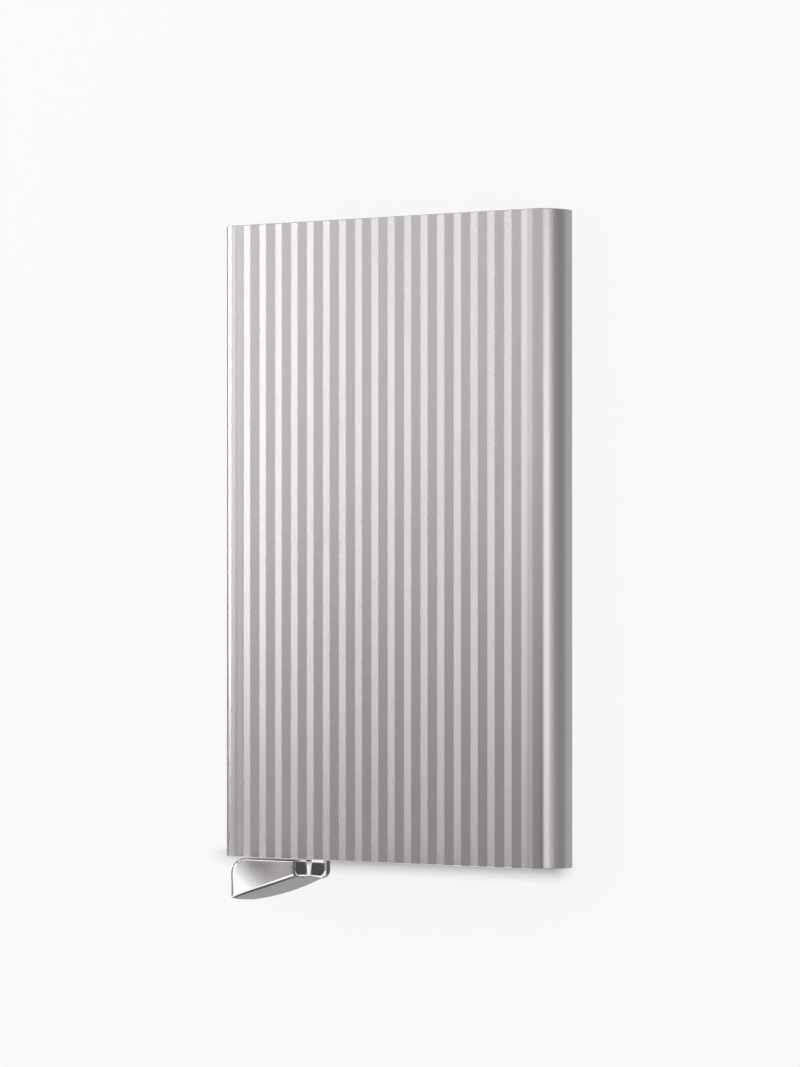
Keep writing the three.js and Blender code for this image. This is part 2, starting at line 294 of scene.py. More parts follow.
@dataclass(frozen=True)
class SatinAluminium:
    """Extruded aluminium, blasted fine and anodised, with the die's faint lines along it."""

    colour: tuple = (0.625, 0.59, 0.618)
    roughness: float = 0.29
    grain_depth: float = 0.03e-6
    line_depth: float = 0.08e-6
    worn_colour: tuple = (0.86, 0.85, 0.86)

    def material(self) -> Material:
        """Makes the material."""
        g = Graph("satin_aluminium")
        lines = g.noise((2600.0, 9.0, 2600.0), 3.0)
        cloud = g.noise((70.0, 45.0, 70.0), 2.0)
        grain = g.noise((26000.0, 26000.0, 26000.0), 1.0)
        rubbed = g.noise((700.0, 200.0, 700.0), 2.0).between(0.3, 0.75)
        wear = g.attribute("wear") * (0.35 + 0.65 * rubbed)
        shade = (lines * 0.45 + cloud * 0.55).clipped()
        base = g.tinted(shade, mixed(self.colour, BLACK, 0.02), mixed(self.colour, WHITE, 0.03))
        roughness = self.roughness + (cloud - 0.5) * 0.04 + (lines - 0.5) * 0.04 - wear * 0.03
        return g.surface(
            {
                "Base Color": g.tinted(wear * 0.16, base, self.worn_colour),
                "Metallic": 1.0,
                "Roughness": roughness.clipped(),
                "Normal": g.bump(lines, self.line_depth, g.bump(grain, self.grain_depth)),
            }
        )


@dataclass(frozen=True)
class PolishedCasting:
    """A zinc casting, polished and chromed: bright, with the slight waviness of hand polishing."""

    colour: tuple = (0.9, 0.89, 0.9)
    roughness: float = 0.07
    wave_depth: float = 12e-6

    def material(self) -> Material:
        """Makes the material."""
        g = Graph("polished_lever")
        waves = g.noise((240.0, 240.0, 240.0), 1.0)
        hairs = g.noise((900.0, 16000.0, 9000.0), 2.0).between(0.55, 0.75)
        smears = g.noise((420.0, 300.0, 420.0), 3.0).between(0.4, 0.8)
        return g.surface(
            {
                "Base Color": g.tinted(smears, self.colour, mixed(self.colour, BLACK, 0.05)),
                "Metallic": 1.0,
                "Roughness": self.roughness + smears * 0.05 + hairs * 0.03,
                "Normal": g.bump(hairs, 0.15e-6, g.bump(waves, self.wave_depth)),
            }
        )


@dataclass(frozen=True)
class TurnedSteel:
    """Plain steel turned on a lathe, with rings round the pin's and the screws' axes."""

    colour: tuple = (0.62, 0.615, 0.62)
    roughness: float = 0.32

    def material(self) -> Material:
        """Makes the material."""
        g = Graph("turned_steel")
        rings = g.noise((60.0, 60.0, 9000.0), 2.0)
        stains = g.noise((1500.0, 1500.0, 1500.0), 3.0)
        return g.surface(
            {
                "Base Color": g.tinted(stains, self.colour, mixed(self.colour, BLACK, 0.2)),
                "Metallic": 1.0,
                "Roughness": self.roughness + (rings - 0.5) * 0.16,
                "Normal": g.bump(rings, 3e-6),
            }
        )


@dataclass(frozen=True)
class Moulding:
    """Moulded plastic with the tool's fine spark texture, rubbed smoother in patches."""

    name: str
    colour: tuple
    roughness: float
    texture_depth: float

    def material(self) -> Material:
        """Makes the material."""
        g = Graph(self.name)
        texture = g.noise((7000.0, 7000.0, 7000.0), 2.0)
        rubbed = g.noise((190.0, 120.0, 190.0), 3.0).between(0.45, 0.7)
        flow = g.noise((60.0, 260.0, 60.0), 2.0)
        shade = (flow * 0.6 + texture * 0.4).clipped()
        dark, pale = mixed(self.colour, BLACK, 0.15), mixed(self.colour, WHITE, 0.025)
        return g.surface(
            {
                "Base Color": g.tinted(shade, dark, pale),
                "Roughness": (self.roughness + (texture - 0.5) * 0.12 - rubbed * 0.14).clipped(),
                "Normal": g.bump(texture, self.texture_depth),
            }
        )


@dataclass(frozen=True)
class Pile:
    """Short black pile: painted shade makes it dark between its tufts, and a painted highlight makes it a
    little paler and bluish at their tips.
    """

    colour: tuple = (0.045, 0.045, 0.048)

    def material(self) -> Material:
        """Makes the material."""
        g = Graph("black_pile")
        fibres = g.noise((9000.0, 5200.0, 5200.0), 2.0)
        patches = g.noise((260.0, 130.0, 260.0), 2.0)
        # painted shade between the tufts and painted highlight at their tips come from the tip value; the
        # fibre and patch noise is the pile's own tone
        shade = (g.attribute("tip") * 0.6 + fibres * 0.3 + patches * 0.2).clipped()
        dark, pale = mixed(self.colour, BLACK, 0.6), mixed(self.colour, WHITE, 0.07)
        return g.surface(
            {
                "Base Color": g.tinted(shade, dark, pale),
                "Roughness": 0.9 + fibres * 0.1,
                "Sheen Weight": 0.35,
                "Sheen Roughness": 0.4,
                "Normal": g.bump(fibres, 60e-6),
            }
        )


# Shapes


def placed(points: Array) -> Array:
    """Points in the case's millimetres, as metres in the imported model's frame."""
    return (points + np.array([0.0, CASE_END, 0.0])) * MM


def carried(rings: Array, place: Array, axis: int) -> Array:
    """Stands flat rings one behind another along an axis.

    Args:
        rings: points by ring and column, in the two other axes.
        place: where each ring stands along the axis.
        axis: 0, 1 or 2 for X, Y or Z.

    Returns:
        Points by ring and column, in X, Y and Z.
    """
    values = [rings[..., 0], rings[..., 1]]
    values.insert(axis, np.broadcast_to(place[:, None], rings.shape[:2]))
    return np.stack(values, axis=-1)


def round_corners(corners: Array, reach: Array | float, steps: int, support: float) -> Array:
    """Rounds every corner of a closed outline.

    The corner C between the directions a (in) and b (out) becomes the parabola
    (1-s)^2 (C - t a) + 2 s (1-s) C + s^2 (C + t b), with t the reach. A support point on each side of it,
    a little further from C, keeps the flats beside it flat when the surface is shaded smooth.

    Args:
        corners: the outline's corners, one row each.
        reach: how far from each corner the curve starts and ends.
        steps: points on each curve.
        support: how far beyond the curve's ends the support points are.

    Returns:
        The rounded outline's points.
    """
    into = corners - np.roll(corners, 1, axis=0)
    out = np.roll(corners, -1, axis=0) - corners
    into = into / np.linalg.norm(into, axis=1, keepdims=True)
    out = out / np.linalg.norm(out, axis=1, keepdims=True)
    t = np.broadcast_to(np.asarray(reach, float), (len(corners),))[:, None, None]
    s = np.linspace(0.0, 1.0, steps)[None, :, None]
    c, a, b = corners[:, None, :], into[:, None, :], out[:, None, :]
    curve = (1 - s) ** 2 * (c - t * a) + 2 * s * (1 - s) * c + s**2 * (c + t * b)
    before = c - (t + support) * a
    after = c + (t + support) * b
    return np.concatenate([before, curve, after], axis=1).reshape(-1, 2)


def outward(outline: Array) -> Array:
    """Unit normals of a closed counter-clockwise outline: each point's tangent, turned right."""
    tangent = np.roll(outline, -1, axis=0) - np.roll(outline, 1, axis=0)
    normal = np.stack([tangent[:, 1], -tangent[:, 0]], axis=1)
    return normal / np.linalg.norm(normal, axis=1, keepdims=True)


def edge_rounding(radius: float, steps: int) -> tuple[Array, Array]:
    """A quarter round for an outline's edge.

    Args:
        radius: the round's radius.
        steps: segments in it.

    Returns:
        Heights r (1 - cos a) and insets r (1 - sin a), for a from 0 at the end face to a right angle.
    """
    angle = np.linspace(0.0, math.pi / 2, steps + 1)
    return radius * (1 - np.cos(angle)), radius * (1 - np.sin(angle))


def circle() -> Array:
    """The points of a circle of radius 1, counter-clockwise."""
    turn = np.linspace(0.0, 2 * math.pi, 48, endpoint=False)
    return np.stack([np.cos(turn), np.sin(turn)], axis=1)


class Draft:
    """A mesh in the making: grids of points with quads between them, in the case's millimetres."""

    def __init__(self) -> None:
        """Starts empty."""
        self.points: list[Array] = []
        self.quads: list[Array] = []
        self.ends: list[list[int]] = []
        self.values: dict[str, list[Array]] = {}
        self.count = 0

    def shell(self, grid: Array, closed_rows: bool = False, capped: bool = False, **values: Array) -> None:
        """Adds a closed surface over a grid whose every row is a closed ring.

        Its faces are turned outwards by the sign of the volume that they enclose, a sixth of the sum of
        p0 . (p1 x p2) over triangles, with the points taken from their middle.

        Args:
            grid: points by row and column.
            closed_rows: the last row joins on to the first.
            capped: the first and last rows are closed by one flat face each.
            values: a value for each point, kept in the mesh under its name.
        """
        rows, columns = grid.shape[:2]
        row = np.arange(rows if closed_rows else rows - 1)
        r, c = np.meshgrid(row, np.arange(columns), indexing="ij")
        r_next, c_next = (r + 1) % rows, (c + 1) % columns
        near, far = r * columns, r_next * columns
        quads = np.stack([near + c, near + c_next, far + c_next, far + c], axis=-1).reshape(-1, 4)
        flat = grid.reshape(-1, 3)
        p = (flat - flat.mean(axis=0))[quads]
        halves = np.cross(p[:, 1], p[:, 2]) + np.cross(p[:, 2], p[:, 3])
        flipped = np.sum(p[:, 0] * halves) < 0
        if flipped:
            quads = quads[:, ::-1]
        if capped:
            low = np.arange(columns) + self.count
            high = low + (rows - 1) * columns
            ends = [low, high[::-1]] if flipped else [low[::-1], high]
            self.ends.extend(end.tolist() for end in ends)
        self.points.append(flat)
        self.quads.append(quads + self.count)
        for name, value in values.items():
            self.values.setdefault(name, []).append(np.broadcast_to(value, (rows, columns)).reshape(-1))
        self.count += len(flat)

    def mesh(self, name: str) -> Mesh:
        """Makes the mesh, shaded smooth but for its sharp edges."""
        mesh = bpy.data.meshes.new(name)
        points = placed(np.concatenate(self.points))
        faces = np.concatenate(self.quads).tolist() + self.ends
        mesh.from_pydata(points.tolist(), [], faces)
        for key, parts in self.values.items():
            attribute = mesh.attributes.new(key, "FLOAT", "POINT")
            attribute.data.foreach_set("value", np.concatenate(parts).astype(np.float32))
        mesh.polygons.foreach_set("use_smooth", np.ones(len(mesh.polygons), bool))
        mesh.set_sharp_from_angle(angle=math.radians(SMOOTH_DEGREES))
        mesh.validate()
        return mesh


def prism(outline: Array, low: float, high: float, rounding: float, steps: int = 4) -> Array:
    """Rings of a bar with round-edged ends.

    Ring k is the outline drawn in by the rounding's inset along its normals, at the rounding's height
    from the bar's end. Support rings just inside the rounding keep the bar's sides flat.

    Args:
        outline: the section, counter-clockwise in X and Z.
        low: where the bar starts along Y.
        high: where it ends.
        rounding: radius of the ends' edges.
        steps: segments in each rounding.

    Returns:
        The points by ring and column.
    """
    height, inset = edge_rounding(rounding, steps)
    height = np.append(height, 1.5 * rounding)
    inset = np.append(inset, 0.0)
    y = np.concatenate([low + height, (high - height)[::-1]])
    drawn_in = np.concatenate([inset, inset[::-1]])
    return carried(outline[None] - outward(outline)[None] * drawn_in[:, None, None], y, 1)


def add_piece(name: str, mesh: Mesh, material: Material) -> Piece:
    """Puts a mesh into the scene with its material."""
    mesh.materials.clear()
    mesh.materials.append(material)
    piece = bpy.data.objects.new(name, mesh)
    bpy.context.scene.collection.objects.link(piece)
    return piece


def finished(piece: Piece, body: Body, slot: Slot, *nodes: str) -> Piece:
    """Ties a finished piece to its body and hides the nodes that it stands for."""
    if nodes:
        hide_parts(*nodes)
    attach(piece, body.value)
    return piece


def baked(piece: Piece) -> None:
    """Makes a piece's modifiers part of its mesh."""
    graph = bpy.context.evaluated_depsgraph_get()
    mesh = bpy.data.meshes.new_from_object(piece.evaluated_get(graph))
    piece.modifiers.clear()
    piece.data = mesh


def weigh_normals(piece: Piece) -> None:
    """Shades a piece so that its large flat faces stay flat beside their rounded edges."""
    modifier = piece.modifiers.new("flat_faces", "WEIGHTED_NORMAL")
    modifier.keep_sharp = True
    modifier.weight = 90
    baked(piece)


def eased_copy(node: str, name: str, radius: float, material: Material) -> Piece:
    """A copy of a solid with its triangles merged into faces and its sharp edges rounded.

    Args:
        node: the CAD node.
        name: the new piece's name.
        radius: the edges' rounding, in millimetres.
        material: the piece's material.

    Returns:
        The piece.
    """
    solid = bmesh.new()
    solid.from_mesh(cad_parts[node].data)
    bmesh.ops.remove_doubles(solid, verts=solid.verts, dist=MERGED * MM)
    flat, bevelled = math.radians(FLAT_DEGREES), math.radians(BEVELLED_DEGREES)
    bmesh.ops.dissolve_limit(solid, angle_limit=flat, verts=solid.verts, edges=solid.edges)
    sharp = [e for e in solid.edges if len(e.link_faces) == 2 and e.calc_face_angle() > bevelled]
    bmesh.ops.bevel(
        solid, geom=sharp, offset=radius * MM, segments=2, profile=0.5, affect="EDGES", clamp_overlap=True
    )
    bmesh.ops.triangulate(solid, faces=[f for f in solid.faces if len(f.verts) > 4])
    mesh = bpy.data.meshes.new(name)
    solid.to_mesh(mesh)
    solid.free()
    mesh.polygons.foreach_set("use_smooth", np.ones(len(mesh.polygons), bool))
    mesh.set_sharp_from_angle(angle=math.radians(SMOOTH_COPY_DEGREES))
    piece = add_piece(name, mesh, material)
    weigh_normals(piece)
    return piece


# The case


@dataclass(frozen=True)
class CaseTube:
    """The extruded tube: two ribbed faces, two bowed sides, and a round-ended pocket through it."""

    half_width: float = 31.5
    half_depth: float = 4.1
    side_curve: float = 2.4
    length: float = 95.2
    rib_count: int = 17
    rib_zone: float = 26.6
    rib_depth: float = 0.3
    rib_reach: float = 0.06
    rib_guide: tuple = (0.3, 0.057)
    rib_support: float = 0.05
    margin_start: float = 0.07
    margin_bow: float = 1.6
    margin_crown: float = 0.2
    pocket_half_width: float = 30.2
    pocket_half_depth: float = 2.7
    pocket_curve: float = 1.6
    rim_rounding: float = 0.14
    mouth_rounding: float = 0.12
    crest_height: float = 0.04
    crest_wear: float = 0.05
    shoulder_share: float = 0.5
    end_wear: float = 0.3

    def rib_face(self) -> Array:
        """One broad face from left to right, as X and the height over the crests.

        Corners alternate between valleys at -depth and crests at 0, each softened by `round_corners`. A
        guide point beyond each last valley shapes that valley's curve, and is cut off again. Beyond it,
        at the share s of the margin, the height is -depth (1 - s)^bow - crown s^3.
        """
        place = np.linspace(-self.rib_zone, self.rib_zone, 2 * self.rib_count + 1)
        height = np.where(np.arange(len(place)) % 2 == 0, -self.rib_depth, 0.0)
        out, up = self.rib_zone + self.rib_guide[0], self.rib_guide[1] - self.rib_depth
        corners = np.concatenate([[[-out, up]], np.stack([place, height], axis=1), [[out, up]]])
        steps = 5
        ribs = round_corners(corners, self.rib_reach, steps, self.rib_support)[steps + 2 : -steps - 2]
        share = np.linspace(self.margin_start, 1.0, 22)
        land = self.half_width - self.side_curve
        x = self.rib_zone + (land - self.rib_zone) * share
        rise = -self.rib_depth * (1 - share) ** self.margin_bow - self.margin_crown * share**3
        right = np.stack([x, rise], axis=1)
        left = np.stack([-x[::-1], rise[::-1]], axis=1)
        return np.concatenate([left, ribs, right])

    def section(self) -> tuple[Array, Array, Array, Array]:
        """The tube's section, counter-clockwise in X and depth.

        Each side is half an ellipse. Its first and last points are left out, so that a small soft edge
        joins it to the margin.

        Returns:
            The outer outline, its inset directions, the pocket's outline with a point for each outer one,
            and how worn each point is: crests and the sides' shoulders are rubbed first.
        """
        face = self.rib_face()
        land = self.half_width - self.side_curve
        inner_land = self.pocket_half_width - self.pocket_curve
        turn = np.linspace(0.0, math.pi, 48)[4:-4]
        sine, cosine = np.sin(turn), np.cos(turn)
        back = np.stack([face[:, 0], -self.half_depth - face[:, 1]], axis=1)
        depth = self.half_depth - self.margin_crown
        right = np.stack([land + self.side_curve * sine, -depth * cosine], axis=1)
        outer = np.concatenate([back, right, -back, -right])
        down = np.broadcast_to([0.0, -1.0], back.shape)
        side = np.stack([sine / self.side_curve, -cosine / self.half_depth], axis=1)
        side /= np.linalg.norm(side, axis=1, keepdims=True)
        normal = np.concatenate([down, side, -down, -side])
        depth = self.pocket_half_depth
        inner_back = np.stack([face[:, 0] * inner_land / land, np.full(len(face), -depth)], axis=1)
        inner_right = np.stack([inner_land + self.pocket_curve * sine, -depth * cosine], axis=1)
        inner = np.concatenate([inner_back, inner_right, -inner_back, -inner_right])
        crest = np.clip(1 + face[:, 1] / self.crest_height, 0.0, 1.0) * (np.abs(face[:, 0]) < self.rib_zone)
        shoulder = np.full(len(turn), self.shoulder_share)
        worn = np.concatenate([crest, shoulder, crest[::-1], shoulder])
        return outer, normal, inner, worn

    def mesh(self) -> Mesh:
        """The whole tube as one closed grid.

        Rows run up the outside, over the mouth's rim, down the pocket and back over the lower rim. Each
        rim's edges are quarter rounds: outside drawn in along the inset directions, inside drawn out.
        """
        outer, normal, inner, worn = self.section()
        into = -outward(inner)
        rings, places = [], []
        for outline, inward, radius, steps, support in (
            (outer, normal, self.rim_rounding, 4, 1.5),
            (inner, into, self.mouth_rounding, 3, 3),
        ):
            rise, inset = edge_rounding(radius, steps)
            stations = np.array([support * radius, self.length - support * radius])
            places.append(np.concatenate([rise, stations, (self.length - rise)[::-1]]))
            drawn = np.concatenate([inset, np.zeros(2), inset[::-1]])
            rings.append(outline[None] - inward[None] * drawn[:, None, None])
        y = np.concatenate([places[0], places[1][::-1]])
        grid = carried(np.concatenate(rings), y, 1)
        grid[..., 2] += self.half_depth
        near_end = np.exp(-np.minimum(y, self.length - y) / self.end_wear)
        wear = np.clip(worn[None] * self.crest_wear + near_end[:, None], 0.0, 1.0)
        draft = Draft()
        draft.shell(grid, closed_rows=True, wear=wear)
        return draft.mesh("case_tube")

    def build(self, finish: Material) -> None:
        """Makes the tube in place of its CAD solid."""
        piece = add_piece("case_tube", self.mesh(), finish)
        finished(piece, Body.CASE, Slot.ALUMINIUM, "case_shell")


# Inside the case


@dataclass(frozen=True)
class SideRail:
    """A moulded bar in the case's round side, with the pile strip that grips the cards' edges."""

    case_half_depth: float = CaseTube.half_depth
    half_width: float = CaseTube.pocket_half_width
    curve: float = CaseTube.pocket_curve
    half_depth: float = CaseTube.pocket_half_depth
    seat: float = 0.25
    card_face: float = 27.05
    bar_face: float = 27.9
    bar_edge: float = 0.1
    bar_support: float = 0.04
    bar_end: float = 0.15
    pile_half: float = 1.65
    pile_round: float = 0.35
    groove_depth: float = 0.55
    low: float = 9.25
    high: float = 94.4
    pile_inset: float = 1.5
    tuft_pitch: float = 0.16
    tuft_depth: float = 0.13

    def bar_section(self) -> Array:
        """The bar's outline, counter-clockwise: a half ellipse outside, a groove for the strip inside."""
        straight = self.half_width - self.curve
        depth = self.half_depth - self.seat
        turn = np.linspace(-math.pi / 2, math.pi / 2, 25)
        arc = np.stack([straight + (self.curve - self.seat) * np.cos(turn), depth * np.sin(turn)], axis=1)
        groove = self.pile_half + self.seat
        floor = self.bar_face + self.groove_depth
        half = np.array([[self.bar_face, depth], [self.bar_face, groove], [floor, groove]])
        ends = np.concatenate([arc[-1:], half, (half * [1.0, -1.0])[::-1], arc[:1]])
        steps = 4
        eased = round_corners(ends, self.bar_edge, steps, self.bar_support)[steps + 2 : -steps - 2]
        return np.concatenate([arc, eased])

    def strip_mesh(self, side: float) -> Mesh:
        """The pile strip.

        Each ring of it is a round-cornered box. Its points are pushed in along the outline's normals by
        the tuft depth times a product of two waves across and along the strip, each bent by a slower
        wave, so that rows of tufts stand beside each other. The backing side stays plain.

        Args:
            side: 1 for the right rail and -1 for the left.

        Returns:
            The mesh.
        """
        base = self.bar_face + self.groove_depth - self.seat
        across = int(2 * self.pile_half / (0.5 * self.tuft_pitch))
        depth = np.linspace(-self.pile_half, self.pile_half, across)
        corner = np.maximum(np.abs(depth) - (self.pile_half - self.pile_round), 0.0)
        rise = np.sqrt(np.maximum(self.pile_round**2 - corner**2, 0.0))
        front = self.card_face + self.pile_round - rise
        face = np.stack([front[::-1], depth[::-1]], axis=1)
        outline = np.concatenate([[[base, -self.pile_half], [base, self.pile_half]], face])
        low, high = self.low + self.pile_inset, self.high - self.pile_inset
        y = np.linspace(low, high, int((high - low) / (0.55 * self.tuft_pitch)))
        v = np.arange(len(outline))[None] / 2.0
        u = (y[:, None] - low) / self.tuft_pitch
        bent_u = u + 0.4 * np.sin(1.7 * v + 0.31 * u)
        bent_v = v + 0.35 * np.sin(0.9 * u) + 0.2 * np.sin(0.37 * u + v)
        wave = 0.5 + 0.5 * np.sin(2 * math.pi * bent_u) * np.sin(2 * math.pi * bent_v)
        pile = np.ones(len(outline))
        pile[:2] = 0.0
        sink = self.tuft_depth * wave * pile[None]
        grid = carried(outline[None] - outward(outline)[None] * sink[..., None], y, 1)
        grid[..., 0] *= side
        grid[..., 2] += self.case_half_depth
        draft = Draft()
        # the tip value drives the pile material's painted shade between the tufts and painted highlight at
        # their tips
        draft.shell(grid, capped=True, tip=(1 - wave) * pile[None])
        return draft.mesh("pile")

    def build(self, name: str, side: float, moulding: Material, pile: Material) -> None:
        """Makes one side's bar and strip.

        Args:
            name: left or right.
            side: 1 for the right and -1 for the left.
            moulding: the bar's material.
            pile: the strip's material.
        """
        grid = prism(self.bar_section(), self.low, self.high, self.bar_end)
        grid[..., 0] *= side
        grid[..., 2] += self.case_half_depth
        draft = Draft()
        draft.shell(grid, capped=True)
        bar = add_piece("side_bar_" + name, draft.mesh("side_bar"), moulding)
        finished(bar, Body.CASE, Slot.BLACK, "side_liner_" + name)
        strip = add_piece("pile_strip_" + name, self.strip_mesh(side), pile)
        finished(strip, Body.CASE, Slot.PILE, "grip_strip_" + name)


@dataclass(frozen=True)
class Carrier:
    """The moulded halves in the case's lower end, their screws, and the lever's pin."""

    edge: float = 0.12
    screw_edge: float = 0.08
    pivot: tuple = PIVOT
    pin_radius: float = 0.9
    pin_back: float = 1.65
    pin_front: float = 6.55
    pin_dome: float = 0.18
    pin_centre: tuple = (0.3, 0.12)
    pin_flat: float = 0.02
    pin_support: float = 0.4

    def pin_mesh(self) -> Mesh:
        """The pin: a circle carried along Z.

        Its radius is full but for a quarter round at each end, and a shallow lathe centre dips each end.
        """
        height, inset = edge_rounding(self.pin_dome, 4)
        centre, dip = self.pin_centre
        rise = np.concatenate([[dip, 0.0], height, [self.pin_support]])
        z = np.concatenate([self.pin_back + rise, (self.pin_front - rise)[::-1]])
        half = np.concatenate([[self.pin_flat, centre], self.pin_radius - inset, [self.pin_radius]])
        radius = np.concatenate([half, half[::-1]])[:, None, None]
        draft = Draft()
        draft.shell(carried(self.pivot + radius * circle()[None], z, 2), capped=True)
        return draft.mesh("turned_pin")

    def build(self, moulding: Material, steel: Material) -> None:
        """Makes the carrier's pieces.

        Args:
            moulding: the halves' material.
            steel: the screws' and the pin's material.
        """
        for half in ("carrier_back", "carrier_front"):
            piece = eased_copy(half, half + "_half", self.edge, moulding)
            finished(piece, Body.CASE, Slot.BLACK, half)
        for side in ("left", "right"):
            node = "carrier_screw_" + side
            screw = eased_copy(node, "slotted_screw_" + side, self.screw_edge, steel)
            finished(screw, Body.CASE, Slot.STEEL, node)
        finished(add_piece("turned_pin", self.pin_mesh(), steel), Body.CASE, Slot.STEEL, "pivot_pin")


# The lever


@dataclass(frozen=True)
class FingerLever:
    """The casting: a wedge shaped tab outside, and a flat blade with its neck, hub and arm inside."""

    pivot: tuple = PIVOT
    left: float = -30.75
    right: float = -17.15
    top: float = -0.3
    bottom: float = -6.3
    end_bottom: float = -2.6
    corner: tuple = (3.1, 2.7)
    lean: float = -0.1
    tip: float = 0.42
    edge: float = 0.4
    edge_stretch: float = 2.4
    top_softness: float = 0.4
    right_share: float = 0.06
    back: float = 0.7
    front: float = 7.5
    end_round: tuple = (1.3, 1.5)
    end_ease: float = 0.2
    fall: float = 0.4
    fall_start: float = -22.5
    fall_run: float = 6.8
    fall_turn: float = 0.45
    fall_power: float = 2.2
    fall_limit: float = 1.3
    middle_drop: float = 2.4
    bow: float = 0.006
    sag: float = 0.5
    belly: float = 0.12
    bulge: float = 0.45
    bulge_drop: float = 0.6
    blade_back: float = 2.4
    blade_front: float = 3.8
    blade_edge: float = 0.42
    blade_rounding: tuple = (0.25, 0.75, 0.4)
    hub: float = 2.5
    bore: float = 1.0
    neck_half: float = 1.24
    neck_bottom: float = -3.0
    neck_corner: float = 1.2
    neck_root: float = 0.8
    arm_length: float = 14.0
    arm_half: float = 1.3
    arm_nose: float = 0.5
    fillet: float = 0.75
    fillet_curve: tuple = ((0.75, 0.0), (0.29, 0.4), (0.0, 1.0))
    fillet_sunk: float = 0.5
    fillet_taper: float = 0.6
    shoulder: tuple = (0.22, 0.55)
    shoulder_sunk: tuple = (0.25, 0.4)

    def tab_ring(self, inset: Array, shift: Array, sag: Array, ease: Array, bulge: Array) -> Array:
        """The tab's outline at several depths.

        Counter-clockwise from the eased lower right corner: up the right end, along the top, round an
        ellipse, down the left end, which leans as the square of the way down, and round the tip's arc on
        to the sloping underside, which is bowed down as 4 bulge u (1 - u) at the share u of the way. The
        top is drawn in by softness inset^3 / edge^2 alone, so that its edge is softer than the others.

        Args:
            inset: how far each ring is drawn in.
            shift: how far each ring's left end is moved in.
            sag: how far each ring's underside is moved down.
            ease: the reach of each ring's eased lower right corner.
            bulge: how far each ring's underside is bowed down halfway along.

        Returns:
            Points by ring and column, in X and Y.
        """
        inset, shift, sag, ease, bulge = (v[:, None] for v in (inset, shift, sag, ease, bulge))
        rim = self.top_softness * inset**3 / self.edge**2
        left, right, top = self.left + shift, self.right - self.right_share * inset, self.top - rim
        end_y = self.end_bottom - sag - self.bulge_drop * bulge + inset
        tip_x, tip_y = left + self.lean + self.tip, self.bottom + self.tip - sag
        radius = self.tip - inset
        slope = np.arctan2(end_y - tip_y, right - tip_x)
        slope = slope + np.arcsin(radius / np.hypot(end_y - tip_y, right - tip_x))
        corner_x, corner_y = left + self.corner[0], self.top - self.corner[1]
        lean = np.arctan2(2 * self.lean, corner_y - tip_y)

        s = np.linspace(0.0, 1.0, 7)[None]
        ease_x = right - (1 - s) ** 2 * ease * np.cos(slope)
        ease_y = end_y - (1 - s) ** 2 * ease * np.sin(slope) + s**2 * ease
        rise = np.array([[0.1, 0.5, 0.9, 1.0]])
        end_x, end_y_line = right + 0 * rise, end_y + ease + (top - end_y - ease) * rise
        run = np.array([[0.03, 0.3, 0.6, 0.9]])
        top_x, top_y = right + (corner_x - right) * run, top + 0 * run
        turn = np.linspace(math.pi / 2, math.pi, 18)[None]
        arc_x = corner_x + (self.corner[0] - inset) * np.cos(turn)
        arc_y = corner_y + (self.corner[1] - rim) * np.sin(turn)
        swing = math.pi + lean + (math.pi / 2 + slope - lean) * np.linspace(0.0, 1.0, 12)[None]
        round_x, round_y = tip_x + radius * np.cos(swing), tip_y + radius * np.sin(swing)
        down = np.linspace(0.12, 0.92, 8)[None]
        side_x = left + inset + (round_x[:, :1] - left - inset) * down**2
        side_y = corner_y + (round_y[:, :1] - corner_y) * down
        under = np.array([[0.04, 0.12, 0.22, 0.33, 0.44, 0.55, 0.66, 0.77, 0.87, 0.95]])
        under_x = round_x[:, -1:] + (ease_x[:, :1] - round_x[:, -1:]) * under
        under_y = round_y[:, -1:] + (ease_y[:, :1] - round_y[:, -1:]) * under
        under_y = under_y - 4 * bulge * under * (1 - under)
        x = np.concatenate([ease_x, end_x, top_x, arc_x, side_x, round_x, under_x], axis=1)
        y = np.concatenate([ease_y, end_y_line, top_y, arc_y, side_y, round_y, under_y], axis=1)
        return np.stack([x, y], axis=-1)

    def tab_grid(self) -> Array:
        """The tab's skin: rings from back to front, then the crowned front closing to its middle.

        A ring at the distance d from the nearer face has its left end moved in by a (1 - sqrt(1 - (1 -
        d/b)^2)), so that the end is round in plan with half axes a and b. At the share q of the depth
        from the front its underside is moved down by sag q + 4 belly q (1 - q) and bowed by bulge q. A
        ring on the front face lies at the share r from the middle. Last, the front falls away to the
        lower left by fall w^power at the way w there, and by bow y^2 to its top and underside. The back
        doesn't fall, and what lies between falls by its share.
        """
        height, inset = edge_rounding(self.edge, 8)
        height = self.edge_stretch * height
        thickness = self.front - self.back
        spread = 0.5 - 0.5 * np.cos(np.linspace(0.0, math.pi, 25))
        body = 1.1 * height[-1] + (thickness - 2.2 * height[-1]) * spread
        depth = np.concatenate([height, body, (thickness - height)[::-1]])
        drawn = np.concatenate([inset, 0 * body, inset[::-1]])
        near = np.clip(1 - np.minimum(depth, thickness - depth) / self.end_round[1], 0.0, 1.0)
        shift = self.end_round[0] * (1 - np.sqrt(1 - near**2))
        q = 1 - depth / thickness
        ease = self.end_ease * np.clip(2.0 * q, 0.25, 1.0)
        sag = self.sag * q + 4 * self.belly * q * (1 - q)
        skin = carried(self.tab_ring(drawn, shift, sag, ease, self.bulge * q), self.back + depth, 2)
        edge = skin[-1]
        middle = edge.mean(axis=0)
        r = np.array([0.994, 0.98, 0.93, 0.85, 0.75, 0.65, 0.55, 0.45, 0.35, 0.25, 0.15, 0.07, 0.01])
        face = middle + (edge - middle)[None] * r[:, None, None]
        grid = np.concatenate([skin, face])
        off_middle = grid[..., 1] + self.middle_drop
        way = (self.fall_start - grid[..., 0] - self.fall_turn * off_middle) / self.fall_run
        drop = self.fall * np.clip(way, 0.0, self.fall_limit) ** self.fall_power + self.bow * off_middle**2
        grid[..., 2] -= drop * (grid[..., 2] - self.back) / thickness
        return grid

